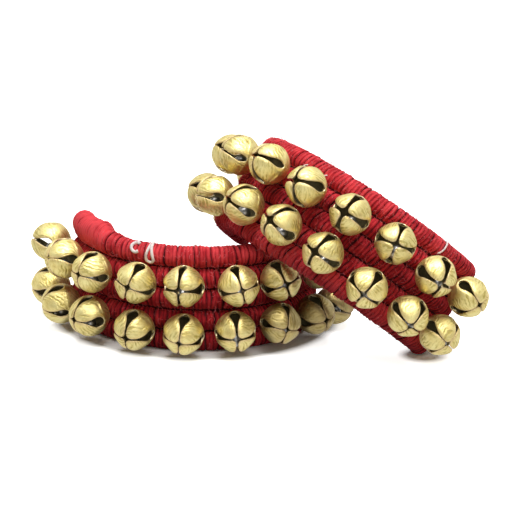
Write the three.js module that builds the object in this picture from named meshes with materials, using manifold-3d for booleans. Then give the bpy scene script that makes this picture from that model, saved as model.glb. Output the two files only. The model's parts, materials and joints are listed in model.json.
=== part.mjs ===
// A pair of ghungroo ankle bells, in millimetres with +Z up. Each anklet is a soft open band of
// five rolls, cord wound with red yarn and sewn side by side, that carries two rows of brass bells
// on its second and fourth rolls. A bell is a shell of four petals with a loose steel pellet inside.
// The left anklet stands on its lowest roll. The right one leans on it, with one end on the floor.

import * as THREE from 'three';
import { mergeVertices } from 'three/addons/utils/BufferGeometryUtils.js';
import Module from 'manifold-3d';

// Bells
const BELL_DIAMETER = 19;
const BELL_WALL = 1;
const TIP_FLAT = 0.5; // how far the petals' tips fall short of a full ball
const EYE_DIAMETER = 2.6;
const EYE_LENGTH = 0.9;
const SLOT_HOLE = 3.8; // the round end of a slot, at the bell's waist
const SLOT_NECK = 0.7;
const SLOT_NECK_HEIGHT = 5.6; // from the bell's middle towards its tip
const SLOT_MOUTH = 1.8;
const PELLET_DIAMETER = 6.4;
const PELLET_CLEARANCE = 1.4;

// Rolls
const ROW_GAP = 0.6; // between the two rows of bells while they point straight out
const ROLL_GAP = 0.3;
const SEAT_GAP = 0.3; // between a bell's eye and the roll that it is sewn to
const FOOT_FLAT = 0.5; // pressed flat where the left anklet stands
const ROLLS = 5;
const COLUMNS = 9;
const COLUMN_GAP = -0.4; // along a roll, less than nothing because the bend fans the bells out
const BAND_ENDS = { left: 7, right: 12.4 }; // from the last bells to the tips of a roll

// How each band is bent. The far end of the right one curls tighter from curlColumn on, counted from the middle.
const LEFT_BEND = { radius: 52.5 };
const RIGHT_BEND = { radius: 60, curlRadius: 27, curlColumn: -2 };

// How the anklets are put down
const LEFT_TURN = -0.8; // degrees about its own axis
const RIGHT_TURN = -20.6;
const RIGHT_TIP_BACK = -30.6;
const RIGHT_LEAN = 22.6;
const RIGHT_PLACE = { x: 70.4, y: -4 }; // from the left anklet's axis
const LEAN_GAP = 0.5;

// How each bell lies, in degrees and from left to right along its roll: how far it hangs below straight out,
// how far it leans along the roll, and how far its slots are turned clockwise about its own axis.
const LEFT_UPPER_BELLS = {
  droop: [-11, -10, -4, -1, -2, -2, -3, -4, -3],
  lean: [-12, 9, 0, 0, -12, -8, -23, -11, -9],
  turn: [10, -12, 5, 18, 0, -15, -20, 8, 14],
};
const LEFT_LOWER_BELLS = {
  droop: [0, 7, 3, 12, 12, 7, 2, 5, 19],
  lean: [-9, -10, -8, -3, -10, -13, -20, -23, -15],
  turn: [-8, 12, 3, 5, 5, -6, 10, -16, 9],
};
const RIGHT_UPPER_BELLS = {
  droop: [8, 11, 16, 4, 8, 10, 8, 16, 6],
  lean: [-12, -10, -17, -17, -17, -14, -12, -4, -6],
  turn: [12, -9, 5, -12, -20, 0, -14, -12, 16],
};
const RIGHT_LOWER_BELLS = {
  droop: [18, 21, 28, 15, 11, 16, 28, 26, 15],
  lean: [-12, -10, -12, -14, -16, -18, -10, -6, -15],
  turn: [-14, 7, -5, 10, 14, 3, 3, 2, -10],
};

// Faces
const BELL_SIDES = 12;
const BELL_RINGS = 6;
const HOLLOW_SIDES = 8;
const HOLLOW_RINGS = 4;
const EYE_SIDES = 6;
const HOLE_STEPS = 2;
const ROLL_SIDES = 8;
const ROLL_STEPS = 18;
const CAP_STEPS = 2;
const PELLET_SIDES = 8;
const PELLET_RINGS = 5;
const PAST = 5; // how far a cutting tool reaches past what it cuts

const bellRadius = BELL_DIAMETER / 2;
const rollPitch = (BELL_DIAMETER + ROW_GAP) / 2;
const rollRadius = (rollPitch - ROLL_GAP) / 2;
const columnSpacing = BELL_DIAMETER + COLUMN_GAP;
const lastColumn = (COLUMNS - 1) / 2;
const halfLength = lastColumn * columnSpacing + (BAND_ENDS.left + BAND_ENDS.right) / 2;
const bandMiddle = (BAND_ENDS.right - BAND_ENDS.left) / 2; // along the band from its middle bells
const bellMiddle = EYE_LENGTH + bellRadius; // from the end of the eye
const pelletDrop = bellRadius - BELL_WALL - PELLET_CLEARANCE - PELLET_DIAMETER / 2;
const bellRows = [{ name: 'upper', roll: 1 }, { name: 'lower', roll: 3 }];

const brass = new THREE.MeshStandardMaterial({ color: 0xd9bd6a, roughness: 0.38, metalness: 1 });
const yarn = new THREE.MeshStandardMaterial({ color: 0xb81f2c, roughness: 0.9, metalness: 0 });
const steel = new THREE.MeshStandardMaterial({ color: 0x8d8f92, roughness: 0.3, metalness: 1 });

const wasm = await Module();
wasm.setup();

function toSolid(geometry) {
  const bare = geometry.clone();
  bare.deleteAttribute('normal');
  bare.deleteAttribute('uv');
  const merged = mergeVertices(bare, 1e-4);
  return new wasm.Manifold(new wasm.Mesh({
    numProp: 3,
    vertProperties: new Float32Array(merged.attributes.position.array),
    triVerts: new Uint32Array(merged.index.array),
  }));
}

function toGeometry(solid) {
  const mesh = solid.getMesh();
  const geometry = new THREE.BufferGeometry();
  geometry.setAttribute('position', new THREE.BufferAttribute(mesh.vertProperties, mesh.numProp));
  geometry.setIndex(new THREE.BufferAttribute(mesh.triVerts, 1));
  geometry.computeVertexNormals();
  return geometry;
}

// The band's middle line at a distance along it: where it is, and which way points outwards.
function bandPoint(along, { radius, curlRadius = radius, curlColumn = -COLUMNS }) {
  const curlStart = curlColumn * columnSpacing;
  const onMain = Math.max(along, curlStart) / radius;
  const curled = Math.min(along - curlStart, 0) / curlRadius;
  const outAt = (angle) => new THREE.Vector3(Math.sin(angle), -Math.cos(angle), 0);
  const middle = outAt(onMain).multiplyScalar(radius - curlRadius);
  const out = outAt(onMain + curled);
  return { place: middle.addScaledVector(out, curlRadius), out };
}

const rowHeight = (roll) => ((ROLLS - 1) / 2 - roll) * rollPitch;

// A straight roll with round ends, bent along the band.
function rollGeometry(bend) {
  const profile = [];
  const endMiddle = halfLength - rollRadius;
  for (let i = 0; i <= CAP_STEPS; i++) {
    const angle = (i / (CAP_STEPS + 1)) * (Math.PI / 2);
    profile.push(new THREE.Vector2(rollRadius * Math.sin(angle), endMiddle + rollRadius * Math.cos(angle)));
  }
  for (let i = 0; i <= ROLL_STEPS; i++) {
    profile.push(new THREE.Vector2(rollRadius, endMiddle * (1 - (2 * i) / ROLL_STEPS)));
  }
  for (let i = CAP_STEPS; i >= 0; i--) {
    profile.push(new THREE.Vector2(profile[i].x, -profile[i].y));
  }
  const geometry = new THREE.LatheGeometry(profile.reverse(), ROLL_SIDES);
  const position = geometry.attributes.position;
  for (let i = 0; i < position.count; i++) {
    const { place, out } = bandPoint(position.getY(i) + bandMiddle, bend);
    place.addScaledVector(out, position.getX(i));
    position.setXYZ(i, place.x, place.y, position.getZ(i));
  }
  return geometry;
}

// The lowest roll of the standing anklet, flat underneath.
function flattened(geometry, bend) {
  const width = 2 * (bend.radius + rollRadius + PAST);
  const tool = new THREE.BoxGeometry(width, width, 2 * PAST);
  tool.translate(0, 0, FOOT_FLAT - rollRadius - PAST);
  return toGeometry(toSolid(geometry).subtract(toSolid(tool)));
}

// One ball of a bell along +Y from the end of its eye: the outer skin, or the hollow inside it.
function ballProfile(radius, tipReach, rings) {
  const points = [];
  for (let i = 0; i <= rings; i++) {
    const angle = (i / rings) * Math.PI;
    const reach = angle > Math.PI / 2 ? tipReach : radius;
    points.push(new THREE.Vector2(radius * Math.sin(angle), bellMiddle - reach * Math.cos(angle)));
  }
  points[0].x = 0;
  points[rings].x = 0;
  return points;
}

// A slot runs from a round hole at the waist, through a narrow neck, to the mouth at the tip.
function slotTool() {
  const neck = bellMiddle + SLOT_NECK_HEIGHT;
  const top = bellMiddle + bellRadius + PAST;
  const shape = new THREE.Shape();
  shape.moveTo(-SLOT_MOUTH / 2, top);
  shape.lineTo(-SLOT_NECK / 2, neck);
  shape.lineTo(-SLOT_HOLE / 2, bellMiddle);
  shape.absarc(0, bellMiddle, SLOT_HOLE / 2, Math.PI, 2 * Math.PI);
  shape.lineTo(SLOT_NECK / 2, neck);
  shape.lineTo(SLOT_MOUTH / 2, top);
  const depth = BELL_DIAMETER + 2 * PAST;
  const geometry = new THREE.ExtrudeGeometry(shape, { depth, bevelEnabled: false, curveSegments: HOLE_STEPS });
  return geometry.translate(0, 0, -depth / 2);
}

function bellGeometry() {
  const hollowRadius = bellRadius - BELL_WALL;
  const tipReach = bellRadius - TIP_FLAT;
  const skin = new THREE.LatheGeometry(ballProfile(bellRadius, tipReach, BELL_RINGS), BELL_SIDES);
  const hollowProfile = ballProfile(hollowRadius, tipReach - BELL_WALL, HOLLOW_RINGS);
  const hollow = new THREE.LatheGeometry(hollowProfile, HOLLOW_SIDES);
  const eyeReach = bellMiddle - hollowRadius;
  const eye = new THREE.CylinderGeometry(EYE_DIAMETER / 2, EYE_DIAMETER / 2, eyeReach, EYE_SIDES);
  eye.translate(0, eyeReach / 2, 0);
  const slot = toSolid(slotTool());
  const crossSlot = toSolid(slotTool().rotateY(Math.PI / 2));
  const shell = toSolid(skin).add(toSolid(eye)).subtract(toSolid(hollow));
  return toGeometry(shell.subtract(slot).subtract(crossSlot));
}

const shellGeometry = bellGeometry();
const pelletGeometry = new THREE.SphereGeometry(PELLET_DIAMETER / 2, PELLET_SIDES, PELLET_RINGS);
const radians = THREE.MathUtils.degToRad;

function named(name, geometry, material) {
  const mesh = new THREE.Mesh(geometry, material);
  mesh.name = name;
  return mesh;
}

// A bell's seat: its origin is where the eye meets the roll, X lies along the roll and Y points outwards and down.
function bellSeat(column, roll, bend, droop) {
  const { place, out } = bandPoint((column - 1 - lastColumn) * columnSpacing, bend);
  const along = new THREE.Vector3(-out.y, out.x, 0);
  const axis = out.clone().multiplyScalar(Math.cos(droop));
  axis.z = -Math.sin(droop);
  const seat = new THREE.Group();
  seat.setRotationFromMatrix(new THREE.Matrix4().makeBasis(along, axis, along.clone().cross(axis)));
  seat.position.copy(place).addScaledVector(out, rollRadius + SEAT_GAP);
  seat.position.z = rowHeight(roll);
  return seat;
}

function anklet(side, bend, bells, stands) {
  const group = new THREE.Group();
  const plainRoll = rollGeometry(bend);
  for (let roll = 0; roll < ROLLS; roll++) {
    const foot = stands && roll === ROLLS - 1;
    const mesh = named(`${side}_roll_${roll + 1}`, foot ? flattened(plainRoll, bend) : plainRoll, yarn);
    mesh.position.z = rowHeight(roll);
    group.add(mesh);
  }
  for (const row of bellRows) {
    for (let column = 1; column <= COLUMNS; column++) {
      const { droop, lean, turn } = bells[row.name];
      const seat = bellSeat(column, row.roll, bend, radians(droop[column - 1]));
      const bell = named(`${side}_${row.name}_bell_${column}`, shellGeometry, brass);
      bell.rotation.set(0, -radians(turn[column - 1]), -radians(lean[column - 1]), 'ZXY');
      seat.add(bell);
      group.add(seat);
    }
  }
  return group;
}

// Balls that stand for an anklet's rolls and bells, in the pair's frame.
function samples(group, bend) {
  group.updateMatrixWorld(true);
  const balls = [];
  group.traverse((item) => {
    if (item.name.includes('roll')) {
      for (let along = -halfLength + rollRadius; along <= halfLength - rollRadius; along += rollRadius / 2) {
        const { place } = bandPoint(along + bandMiddle, bend);
        balls.push({ middle: item.localToWorld(place), radius: rollRadius });
      }
    } else if (item.name.includes('bell')) {
      balls.push({ middle: item.localToWorld(new THREE.Vector3(0, bellMiddle, 0)), radius: bellRadius });
    }
  });
  return balls;
}

// The height at which the leaning anklet comes to rest: on the floor, or on the other anklet.
function restingHeight(leaning, standing) {
  let height = 0;
  for (const a of leaning) {
    height = Math.max(height, a.radius - a.middle.z);
    for (const b of standing) {
      const reach = a.radius + b.radius + LEAN_GAP;
      const level = Math.hypot(a.middle.x - b.middle.x, a.middle.y - b.middle.y);
      if (level < reach) {
        height = Math.max(height, Math.sqrt(reach ** 2 - level ** 2) - (a.middle.z - b.middle.z));
      }
    }
  }
  return height;
}

const left = anklet('left', LEFT_BEND, { upper: LEFT_UPPER_BELLS, lower: LEFT_LOWER_BELLS }, true);
left.rotation.z = radians(LEFT_TURN);
left.position.z = rollRadius - FOOT_FLAT - rowHeight(ROLLS - 1);

const right = anklet('right', RIGHT_BEND, { upper: RIGHT_UPPER_BELLS, lower: RIGHT_LOWER_BELLS }, false);
right.rotation.set(radians(RIGHT_TIP_BACK), radians(RIGHT_LEAN), radians(RIGHT_TURN), 'ZXY');
right.position.set(RIGHT_PLACE.x, RIGHT_PLACE.y, 0);
right.position.z = restingHeight(samples(right, RIGHT_BEND), samples(left, LEFT_BEND));

const pair = new THREE.Group();
pair.add(left, right);
pair.updateMatrixWorld(true);

// A pellet lies at the bottom of its bell. The bells between the ends of each upper row have theirs here.
function addPellets(side) {
  for (let column = 2; column < COLUMNS; column++) {
    const bell = pair.getObjectByName(`${side}_upper_bell_${column}`);
    const pellet = named(`${side}_upper_pellet_${column}`, pelletGeometry, steel);
    pellet.position.copy(bell.localToWorld(new THREE.Vector3(0, bellMiddle, 0)));
    pellet.position.z -= pelletDrop;
    pair.add(pellet);
  }
}
addPellets('left');
addPellets('right');

// The origin is on the floor under the middle of the pair.
const box = new THREE.Box3().setFromObject(pair, true);
pair.position.set(-(box.min.x + box.max.x) / 2, -(box.min.y + box.max.y) / 2, -box.min.z);

export default pair;
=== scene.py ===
# %% [markdown]
# # A pair of ghungroo, a dancer's ankle bells
# Each anklet is a soft open band: five thick cords wound with red yarn and sewn side by side. Two rows of
# brass bells are sewn on it, and each bell is a ball of four petals with a loose steel pellet inside. The
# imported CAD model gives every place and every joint. It is loaded first and nothing in it is moved, so
# each piece made below goes exactly where its CAD node is.

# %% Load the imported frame
import json
import math
import random

import bmesh
import bpy
from mathutils import Matrix, Vector, noise


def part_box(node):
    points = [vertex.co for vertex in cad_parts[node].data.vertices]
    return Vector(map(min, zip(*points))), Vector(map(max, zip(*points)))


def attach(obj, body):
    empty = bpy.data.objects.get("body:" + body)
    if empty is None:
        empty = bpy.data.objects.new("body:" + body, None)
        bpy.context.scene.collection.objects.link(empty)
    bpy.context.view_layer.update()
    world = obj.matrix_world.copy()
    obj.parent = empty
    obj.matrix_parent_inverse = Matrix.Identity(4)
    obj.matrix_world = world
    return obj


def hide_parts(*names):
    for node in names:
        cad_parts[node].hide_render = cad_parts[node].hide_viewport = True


MM = 0.001
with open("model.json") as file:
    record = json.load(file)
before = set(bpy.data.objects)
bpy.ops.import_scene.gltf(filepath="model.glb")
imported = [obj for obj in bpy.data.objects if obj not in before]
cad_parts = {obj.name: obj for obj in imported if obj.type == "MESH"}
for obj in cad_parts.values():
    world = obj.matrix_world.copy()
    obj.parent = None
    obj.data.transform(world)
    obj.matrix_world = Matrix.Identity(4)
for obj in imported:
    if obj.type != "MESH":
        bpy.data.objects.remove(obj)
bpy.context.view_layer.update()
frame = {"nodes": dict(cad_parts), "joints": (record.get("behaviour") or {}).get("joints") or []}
joint_of = {joint["child"]: joint for joint in frame["joints"]}

# %% [markdown]
# ## Camera
# The photograph was taken from a little above, with a long lens, so the rows stay almost parallel. The
# camera hangs on a chain of simple moves: go to the point it looks at, tip up from straight down, turn the
# picture a little, and step back.

# %% Camera
LOOK_AT = Vector((2.4, 28.7, 26.8)) * MM
ELEVATION = math.radians(16.5)
PICTURE_TURN = math.radians(1.67)
DISTANCE = 1.0588
FAR_CLIP = 20
SENSOR = 36.0
FOCAL_PIXELS, PICTURE_PIXELS = 2248.2, 522

camera = bpy.data.objects.new("camera", bpy.data.cameras.new("camera"))
bpy.context.scene.collection.objects.link(camera)
camera.data.sensor_width = SENSOR
camera.data.lens = SENSOR * (FOCAL_PIXELS / PICTURE_PIXELS)
camera.data.clip_end = FAR_CLIP
camera.matrix_world = (Matrix.Translation(LOOK_AT)
                       @ Matrix.Rotation(math.pi / 2 - ELEVATION, 4, "X")
                       @ Matrix.Rotation(PICTURE_TURN, 4, "Z")
                       @ Matrix.Translation((0, 0, DISTANCE)))
bpy.context.scene.camera = camera
print("camera at", [round(v, 3) for v in camera.matrix_world.translation], "lens", round(camera.data.lens, 1))

# %% [markdown]
# ## Shader maths as plain Python
# A material is a small sum: some noise, times a strength, plus a colour. One class wraps a node socket, so
# that such a sum can be written with the usual signs, and each sign adds a Math node. Every other node comes
# from its one method, which takes the node's type, its settings, and what goes into its sockets. The short
# methods after it name the nodes that are used again and again. Many real finishes are one colour that wanders
# between two tones, so one function makes those.

# %% The class for node sockets
class Shade:
    def __init__(self, tree, socket=None):
        self.tree = tree
        self.socket = socket

    def node(self, kind, settings, sockets, output=0):
        made = self.tree.nodes.new(kind)
        for name, value in settings.items():
            if name == "stops":
                ramp = made.color_ramp.elements
                while len(ramp) < len(value):
                    ramp.new(0.5)
                for stop, (place, colour) in zip(ramp, value):
                    stop.position = place
                    stop.color = (*colour, 1)
            else:
                setattr(made, name, value)
        for name, value in sockets.items():
            if isinstance(value, Shade):
                self.tree.links.new(value.socket, made.inputs[name])
            else:
                made.inputs[name].default_value = value
        return Shade(self.tree, made.outputs[output])

    def maths(self, operation, *values):
        return self.node("ShaderNodeMath", {"operation": operation}, dict(enumerate(values)))

    def __add__(self, other):
        return self.maths("ADD", self, other)

    def __sub__(self, other):
        return self.maths("SUBTRACT", self, other)

    def __mul__(self, other):
        return self.maths("MULTIPLY", self, other)

    def __pow__(self, other):
        return self.maths("POWER", self, other)

    def __rsub__(self, other):
        return self.maths("SUBTRACT", other, self)

    __radd__ = __add__
    __rmul__ = __mul__

    def wave(self):
        """The sine of a value, brought between 0 and 1."""
        return self.maths("SINE", self) * 0.5 + 0.5

    def clipped(self):
        return self.node("ShaderNodeClamp", {}, {"Value": self})

    def mixed(self, low, high):
        return self.node("ShaderNodeMix", {"data_type": "RGBA"}, {0: self, 6: low, 7: high}, 2)

    def ramp(self, *stops):
        return self.node("ShaderNodeValToRGB", {"stops": stops}, {"Fac": self})

    def bump(self, strength, distance):
        return self.node("ShaderNodeBump", {}, {"Height": self, "Strength": strength, "Distance": distance})

    def part(self, axis):
        return self.node("ShaderNodeSeparateXYZ", {}, {0: self}, axis)

    def cloud(self, scale, detail):
        return self.node("ShaderNodeTexNoise", {}, {"Vector": self, "Scale": scale, "Detail": detail})

    def place(self):
        return self.node("ShaderNodeTexCoord", {}, {}, "Object")

    def attribute(self, name, output="Fac"):
        return self.node("ShaderNodeAttribute", {"attribute_name": name}, {}, output)

    def ray(self, kind):
        return self.node("ShaderNodeLightPath", {}, {}, f"Is {kind} Ray")


print("socket class ready:", Shade.__name__)

# %% New finishes
def rgba(red, green, blue):
    return (red, green, blue, 1.0)


def grey(value):
    return rgba(value, value, value)


def feed(shader, **inputs):
    """Links what changes over a surface, and sets what is the same all over it."""
    for name, value in inputs.items():
        socket = shader.inputs[name.replace("_", " ")]
        if isinstance(value, Shade):
            value.tree.links.new(value.socket, socket)
        else:
            socket.default_value = value


def new_finish(name, colour, roughness, metallic):
    finish = bpy.data.materials.new(name)
    finish.use_nodes = True
    shader = finish.node_tree.nodes["Principled BSDF"]
    feed(shader, Base_Color=rgba(*colour), Roughness=roughness, Metallic=metallic)
    return finish, shader, Shade(finish.node_tree)


def mottled(name, colour, roughness, metallic, scale, detail, dark, light):
    """A finish whose colour wanders between two tones. Its tone is given back too, for more uses."""
    finish, shader, shade = new_finish(name, colour, roughness, metallic)
    tone = shade.place().cloud(scale, detail)
    feed(shader, Base_Color=tone.mixed(rgba(*dark), rgba(*light)))
    return finish, shader, tone


print("white is", grey(1))

# %% [markdown]
# ## Floor, world and lamps
# The photograph has a plain white ground with a narrow shadow close under the bands. A large pale floor gives
# the shadow. Light Path adds a glow to it that only the camera and reflections see, so it turns white without
# any more light on the bells. The glow fades right where the anklets touch the floor, or it would drown their
# contact shadow: on the ring under the left one, and at the lowest point of the right one. The right anklet
# can be lifted, so there the paper itself is over-exposed and turns white when its shadow goes. The world is
# white to the camera too. Its front is darker, as a room behind a camera is, because brass needs something
# dark to reflect before it looks like metal.

# %% Floor
FLOOR_HALF = 3.0
FLOOR_SQUARES = 4
FLOOR_GLOW, FLOOR_BOUNCE = 0.8, 0.16
TO_MM = 1000
RING_MIDDLE, RING_RADIUS, RING_BACK = (-28.4, 28.7), 59.0, 4.0
FOOT_SHIFT, FOOT_SHARE = (3, -2), 0.9
GLOW_START, GLOW_FADE = 6.0, 5.0
PAPER_START, PAPER_FADE = 12.0, 5.0
PAPER_BY_RING, PAPER_BEYOND = 0.9, 1.25


def off_middle(place, middle):
    """How far a floor point is from another one, and how far it is behind that, in millimetres."""
    across = place.part("X") * TO_MM - middle[0]
    back = place.part("Y") * TO_MM - middle[1]
    return place.maths("SQRT", across * across + back * back), back


def paper_finish(foot):
    finish, shader, shade = new_finish("floor_paper", (0.5, 0.5, 0.5), 1.0, 0.0)
    camera_ray = shade.ray("Camera")
    seen = (camera_ray + shade.ray("Glossy") + shade.ray("Transmission")).clipped()
    from_ring, behind = off_middle(shade.place(), RING_MIDDLE)
    past_band = shade.maths("MAXIMUM", behind - RING_BACK, 0.0)
    off_ring = shade.maths("ABSOLUTE", from_ring - RING_RADIUS) + past_band
    off_foot, _ = off_middle(shade.place(), (foot.x + FOOT_SHIFT[0], foot.y + FOOT_SHIFT[1]))
    nearest = shade.maths("MINIMUM", off_ring, off_foot * FOOT_SHARE)
    glow = ((nearest - GLOW_START) * (1 / GLOW_FADE)).clipped() * FLOOR_GLOW * seen
    beyond = ((off_ring - PAPER_START) * (1 / PAPER_FADE)).clipped()
    paper = beyond.mixed(grey(PAPER_BY_RING), grey(PAPER_BEYOND))
    feed(shader, Base_Color=camera_ray.mixed(grey(FLOOR_BOUNCE), paper), Specular_IOR_Level=0.0,
         Emission_Color=glow.mixed(grey(0), grey(1)), Emission_Strength=1.0)
    return finish


bpy.context.scene.view_settings.view_transform = "Standard"
right_roll_points = (vertex.co for vertex in frame["nodes"]["right_roll_5"].data.vertices)
right_foot = min(right_roll_points, key=lambda co: co.z) * TO_MM
floor_mesh = bpy.data.meshes.new("floor")
shape = bmesh.new()
bmesh.ops.create_grid(shape, x_segments=FLOOR_SQUARES, y_segments=FLOOR_SQUARES, size=FLOOR_HALF)
shape.to_mesh(floor_mesh)
shape.free()
floor = bpy.data.objects.new("floor", floor_mesh)
bpy.context.scene.collection.objects.link(floor)
floor_mesh.materials.append(paper_finish(right_foot))
print("floor laid, right anklet's foot at", [round(v, 1) for v in right_foot], "mm")

# %% World and lamps
AMBIENT = 0.12
ROOM_FRONT, ROOM_HEIGHT, ROOM_SHIFT = 1.3, 1.1, 0.35
ROOM_DARK = (0.22, 0.2, 0.18)
LAMP_SIZE, LAMP_AIM = 0.9, (0, 0, 0.03)
LAMPS = {"softbox": ((0.0, -0.3, 1.2), 16.5), "fill": ((0.3, -1.4, 0.6), 3.0)}

world = bpy.data.worlds.new("studio")
bpy.context.scene.world = world
world.use_nodes = True
shade = Shade(world.node_tree)
direction = shade.node("ShaderNodeTexCoord", {}, {}, "Generated")
front, height = direction.part("Y") * -1.0, direction.part("Z")
room = (front * ROOM_FRONT - height * ROOM_HEIGHT + ROOM_SHIFT).clipped()
reflected = (shade.ray("Glossy") + shade.ray("Transmission")).clipped()
lit = reflected.mixed(grey(AMBIENT), room.mixed(grey(1), rgba(*ROOM_DARK)))
feed(world.node_tree.nodes["Background"], Color=shade.ray("Camera").mixed(lit, grey(1)))
for name, (place, power) in LAMPS.items():
    lamp = bpy.data.objects.new(name, bpy.data.lights.new(name, "AREA"))
    lamp.data.size = LAMP_SIZE
    lamp.data.energy = power
    lamp.location = place
    lamp.rotation_euler = (Vector(LAMP_AIM) - Vector(place)).to_track_quat("-Z", "Y").to_euler()
    bpy.context.scene.collection.objects.link(lamp)
print("world:", world.name, "lamps:", ", ".join(LAMPS))

# %% [markdown]
# ## Red yarn
# The cords are wound with cotton yarn in flat bundles. Under a lens, each bundle is a few strands side by
# side: bright and a little pink where the light catches the fibres, deep red in the grooves, where the colour
# is painted darker as painted shade. The mesh carries three attributes. Two tell how high a point is on its
# bundle and where it is across the strands, so the lines follow the winding wherever the band bends. The
# third is painted shade: how far the bells overshadow the yarn, which is painted darker there. Below zero it
# is painted light, and the yarn there is painted lighter than the rest. Sheen gives the soft look at the
# edges.

# %% Yarn finishes
STRANDS, STRAND_DRIFT = 4.5, 0.5
DRIFT_SCALE, PATCH_SCALE, SOFT_DETAIL = 260.0, 190.0, 2.0
FIBRE_STRETCH, FIBRE_DETAIL = (9.0, 0.9, 1.0), 3.0
CROWN_POWER, CROWN_SHARE = 2.5, 0.95
LINE_SHARE, FIBRE_SHARE, PATCH_SHARE, PAINTED_SHADE_SHARE = 0.26, 0.8, 1.1, 0.2
BODY_SHIFT, PATCH_SHIFT = 0.7, 0.46
LINE_RELIEF, YARN_BUMP, YARN_BUMP_DEPTH = 0.5, 0.55, 0.0004


def yarn_finish(name, deep, mid, pale):
    finish, shader, shade = new_finish(name, (0.5, 0.02, 0.03), 0.85, 0.0)
    crown, shelter = shade.attribute("crown"), shade.attribute("shelter")
    strand, place = shade.attribute("strand", "Vector"), shade.place()
    drift, patch = place.cloud(DRIFT_SCALE, SOFT_DETAIL), place.cloud(PATCH_SCALE, SOFT_DETAIL)
    fibre_map = shade.node("ShaderNodeMapping", {}, {"Vector": strand, "Scale": FIBRE_STRETCH})
    fibre = fibre_map.cloud(1.0, FIBRE_DETAIL)
    lines = ((strand.part("X") + drift * STRAND_DRIFT) * (STRANDS * math.pi)).wave()
    # Painted shade in the grooves and a painted highlight on the crowns, both from the crown attribute.
    body = crown ** CROWN_POWER * CROWN_SHARE + lines * LINE_SHARE + fibre * FIBRE_SHARE - BODY_SHIFT
    # Painted shade: yarn that the bells overshadow is painted darker; below zero it is painted lighter.
    worn = (body + patch * PATCH_SHARE - PATCH_SHIFT - shelter * PAINTED_SHADE_SHARE).clipped()
    feed(shader, Base_Color=worn.ramp((0.0, deep), (0.5, mid), (1.0, pale)),
         Normal=(lines * LINE_RELIEF + fibre).bump(YARN_BUMP, YARN_BUMP_DEPTH),
         Sheen_Weight=0.12, Sheen_Roughness=0.4, Sheen_Tint=rgba(1.0, 0.45, 0.45), Specular_IOR_Level=0.15)
    return finish


YARN_RED = yarn_finish("red_yarn", (0.055, 0.003, 0.007), (0.48, 0.017, 0.027), (0.92, 0.08, 0.095))
# A much darker red: painted shade for the core between the turns and the tube in the grooves; the sewing loops
# take it too.
SHADE_RED = yarn_finish("shade_red", (0.06, 0.003, 0.006), (0.15, 0.005, 0.01), (0.24, 0.01, 0.016))
print("yarn finishes:", YARN_RED.name, SHADE_RED.name)

# %% [markdown]
# ## Where a band runs
# A band is bent round an ankle: most of it is an arc, and the far end of the right one curls tighter. A
# point is given along the band, outwards and up, in millimetres, and comes back as a place in the frame.
# Along is counted from the middle bells. The rolls go on further past the last bells on the right, so the
# middle of a roll is a little to the right of that. The two bands are alike, so only a few numbers tell them
# apart.

# %% The bands' paths
ROLLS, MIDDLE_ROLL = range(1, 6), 3
ROLL_PITCH = 9.8
ROLL_RADIUS = 4.75
COLUMN = 18.6
OUTER_COLUMN = 4
LEFT_END, RIGHT_END = 7.0, 12.4
HALF_LENGTH = OUTER_COLUMN * COLUMN + (LEFT_END + RIGHT_END) / 2
BAND_MIDDLE = (RIGHT_END - LEFT_END) / 2
NO_CURL = -9 * COLUMN


class Band:
    def __init__(self, side, radius, curl_radius, curl_start, place):
        self.side, self.radius, self.curl_radius = side, radius, curl_radius
        self.curl_start, self.place = curl_start, place

    def bend(self, along):
        on_main = max(along, self.curl_start) / self.radius
        angle = on_main + min(along - self.curl_start, 0) / self.curl_radius
        out = Vector((math.sin(angle), -math.cos(angle), 0))
        middle = Vector((math.sin(on_main), -math.cos(on_main), 0)) * (self.radius - self.curl_radius)
        return middle + out * self.curl_radius, out

    def point(self, along, outwards, up):
        line, out = self.bend(along)
        return (self.place @ (line + out * outwards + Vector((0, 0, up)))) * MM


def turned(degrees, axis):
    return Matrix.Rotation(math.radians(degrees), 4, axis)


def roll_height(number):
    return (MIDDLE_ROLL - number) * ROLL_PITCH


RIGHT_TILT = turned(-20.6, "Z") @ turned(-30.6, "X") @ turned(22.6, "Y")
BANDS = {
    "left": Band("left", radius=52.5, curl_radius=52.5, curl_start=NO_CURL,
                 place=Matrix.Translation((-28.405, 28.670, 23.850)) @ turned(-0.8, "Z")),
    "right": Band("right", radius=60.0, curl_radius=27.0, curl_start=-2 * COLUMN,
                  place=Matrix.Translation((41.995, 24.670, 33.599)) @ RIGHT_TILT),
}
low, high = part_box("left_roll_1")
print("left roll 1 middle:", [round(v, 4) for v in BANDS["left"].point(0, 0, roll_height(1))],
      "CAD box:", [round(v, 4) for v in (*low, *high)])

# %% [markdown]
# ## Winding one roll
# A real roll is one long bundle of yarn wound round a cord, and it can be made in the same way. A flat ring,
# the bundle's section, is spun round the cord while it moves along: bmesh's spin does both at once and leaves
# a true helix. A few turns are spun and then doubled until the roll is full. A plain core closes the grooves
# from inside, and its dark red is painted shade, seen only between the turns. The straight roll is wound once
# and copied for all ten.

# %% One straight roll
YARN_WIDTH, YARN_HEIGHT, YARN_SIDES = 2.25, 1.4, 8
YARN_STANDS_OUT = 0.1
TURNS_SPUN, TURN_STEPS, DOUBLINGS = 3, 16, 5
CORE_SIDES, CORE_STEPS = 12, 60
DOME_DEGREES = 84
WIND_RADIUS = ROLL_RADIUS - YARN_HEIGHT / 2 + YARN_STANDS_OUT
END_MIDDLE = HALF_LENGTH - ROLL_RADIUS
HALF_WOUND = END_MIDDLE + ROLL_RADIUS * math.radians(DOME_DEGREES)
YARN_TURN = 2 * HALF_WOUND / (TURNS_SPUN * 2 ** DOUBLINGS)
JOIN_GAP = 0.01
CORE_END_CROWN = 0.75


def ring_edges(ring):
    """The edges of a ring of points, each once."""
    return list(dict.fromkeys(edge for vert in ring for edge in vert.link_edges))


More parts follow.
